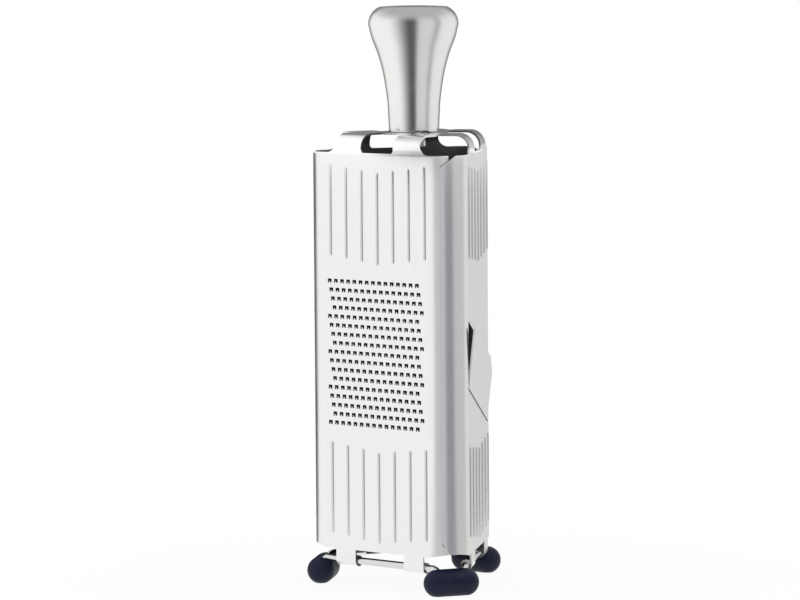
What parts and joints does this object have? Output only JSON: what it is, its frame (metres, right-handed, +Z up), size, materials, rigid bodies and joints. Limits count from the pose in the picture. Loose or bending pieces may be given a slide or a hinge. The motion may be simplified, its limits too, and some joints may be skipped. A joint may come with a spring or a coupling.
{
  "type": "box grater",
  "caption": "Tall free-standing kitchen grater with fine, coarse and slicing sides hinged on a footed base and closed by a screwed knob",
  "frame": {"origin": "On the resting plane under the middle of the bounding box", "axes": "+Z up along the tower, -Y out of the side with fine teeth, +X to the right of that side"},
  "size_m": [0.0986, 0.0872, 0.2755],
  "materials": {
    "sheet_steel": "satin",
    "knob_steel": "fine satin",
    "rod_steel": "polished",
    "foot_rubber": "satin"
  },
  "bodies": {
    "base": {"rod_front": "rod_steel", "rod_right": "rod_steel", "rod_left": "rod_steel", "foot_right": "foot_rubber", "foot_back": "foot_rubber", "foot_left": "foot_rubber"},
    "fine_side": {"panel_fine": "sheet_steel"},
    "slicer_side": {"panel_slicer": "sheet_steel"},
    "coarse_side": {"panel_coarse": "sheet_steel", "washer": "rod_steel", "nut": "rod_steel"},
    "knob": {"knob_shell": "knob_steel", "knob_plug": "knob_steel", "knob_screw": "rod_steel"}
  },
  "joints": [
    {"name": "fold_fine", "type": "hinge", "parent": "base", "child": "fine_side", "pos_m": [0, -0.0359, 0.0124], "axis": [1, 0, 0], "range_deg": [0, 80]},
    {"name": "fold_slicer", "type": "hinge", "parent": "base", "child": "slicer_side", "pos_m": [0.02387, 0.00546, 0.0124], "axis": [-0.5, 0.866, 0], "range_deg": [0, 80]},
    {"name": "fold_coarse", "type": "hinge", "parent": "base", "child": "coarse_side", "pos_m": [-0.02387, 0.00546, 0.0124], "axis": [-0.5, -0.866, 0], "range_deg": [0, 80]},
    {"name": "knob_lift", "type": "slide", "parent": "coarse_side", "child": "knob", "axis": [0, 0, 1], "range_m": [0, 0.03]}
  ]
}
